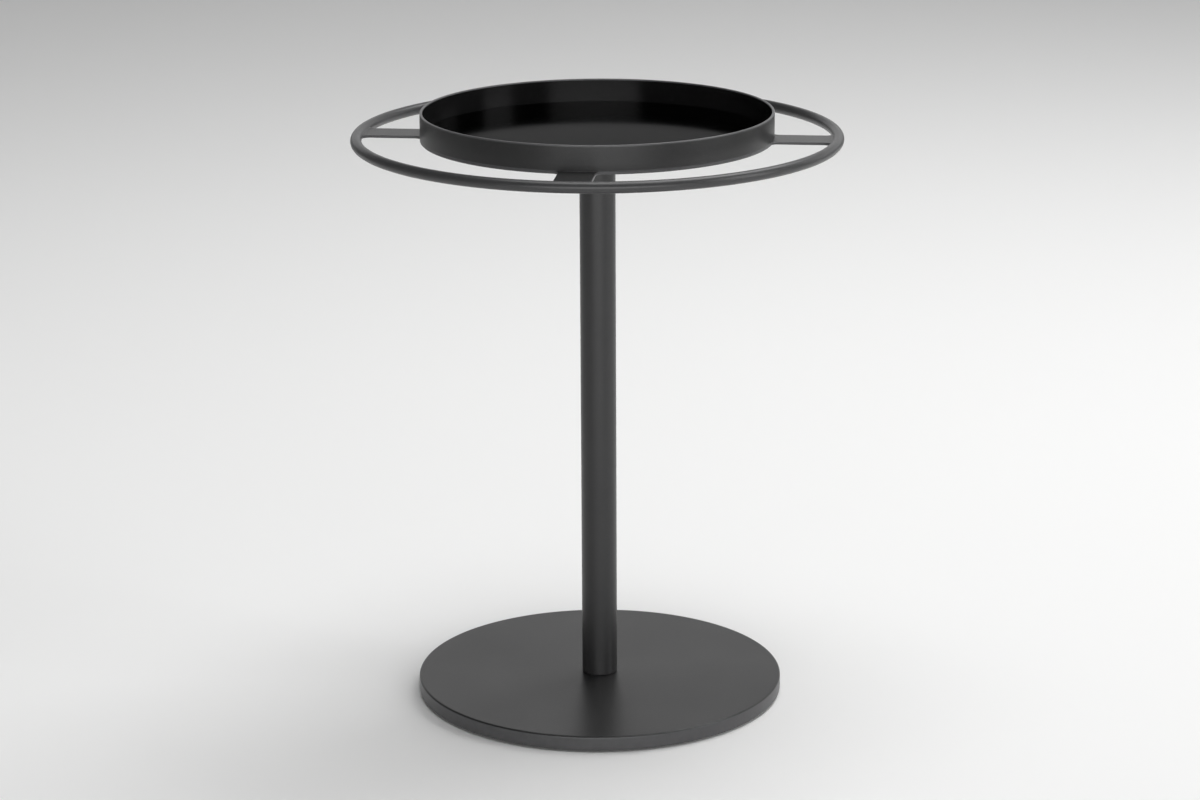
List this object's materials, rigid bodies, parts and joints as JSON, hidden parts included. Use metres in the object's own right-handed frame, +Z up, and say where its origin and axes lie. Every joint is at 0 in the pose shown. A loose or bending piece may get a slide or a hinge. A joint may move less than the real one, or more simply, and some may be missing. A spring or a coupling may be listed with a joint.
{
  "type": "rotating display rack",
  "caption": "Table display rack with a round base, a pole, and a turning tray with arms and an outer ring for hanging spectacles.",
  "frame": {"origin": "on the floor under the middle of the round base", "axes": "+Z up along the pole, which is the axis that the head turns about; -Y is the front; +X is to the right and lies along one arm"},
  "size_m": [0.217, 0.217, 0.2692],
  "materials": {
    "black_powder_coat": "satin black powder coat",
    "gloss_black_inlay": "gloss",
    "rubber_pad": "matte",
    "zinc_plated_steel": "bright zinc",
    "bearing_steel": "ground and polished",
    "turned_steel": "turned",
    "black_anodised_aluminium": "anodised",
    "nylon": "natural"
  },
  "bodies": {
    "stand": {"base_pad": "rubber_pad", "base_plate": "black_powder_coat", "base_bolt": "zinc_plated_steel", "base_lock_washer": "zinc_plated_steel", "pole_tube": "black_powder_coat", "pole_foot_plug": "zinc_plated_steel", "bearing_sleeve": "black_anodised_aluminium", "upper_outer_race": "bearing_steel", "upper_shields": "bearing_steel", "lower_outer_race": "bearing_steel", "lower_shields": "bearing_steel"},
    "head": {"arm_plate": "black_powder_coat", "tray_rim": "black_powder_coat", "tray_inlay": "gloss_black_inlay", "hang_ring": "black_powder_coat", "spindle": "turned_steel", "upper_inner_race": "bearing_steel", "lower_inner_race": "bearing_steel", "inner_race_spacer": "turned_steel", "spindle_shim": "zinc_plated_steel", "spindle_nut": "zinc_plated_steel", "spindle_nut_ring": "nylon"},
    "upper_ball_set": {"upper_balls": "bearing_steel", "upper_cage": "nylon"},
    "lower_ball_set": {"lower_balls": "bearing_steel", "lower_cage": "nylon"}
  },
  "joints": [
    {"name": "head_spin", "type": "hinge", "parent": "stand", "child": "head", "pos_m": [0, 0, 0.2388], "axis": [0, 0, 1], "continuous": true},
    {"name": "upper_ball_set_spin", "type": "hinge", "parent": "stand", "child": "upper_ball_set", "pos_m": [0, 0, 0.2521], "axis": [0, 0, 1], "continuous": true},
    {"name": "lower_ball_set_spin", "type": "hinge", "parent": "stand", "child": "lower_ball_set", "pos_m": [0, 0, 0.2253], "axis": [0, 0, 1], "continuous": true}
  ],
  "couplings": [
    {"joint": "upper_ball_set_spin", "follows": "head_spin", "ratio": 0.39333},
    {"joint": "lower_ball_set_spin", "follows": "head_spin", "ratio": 0.39333}
  ]
}
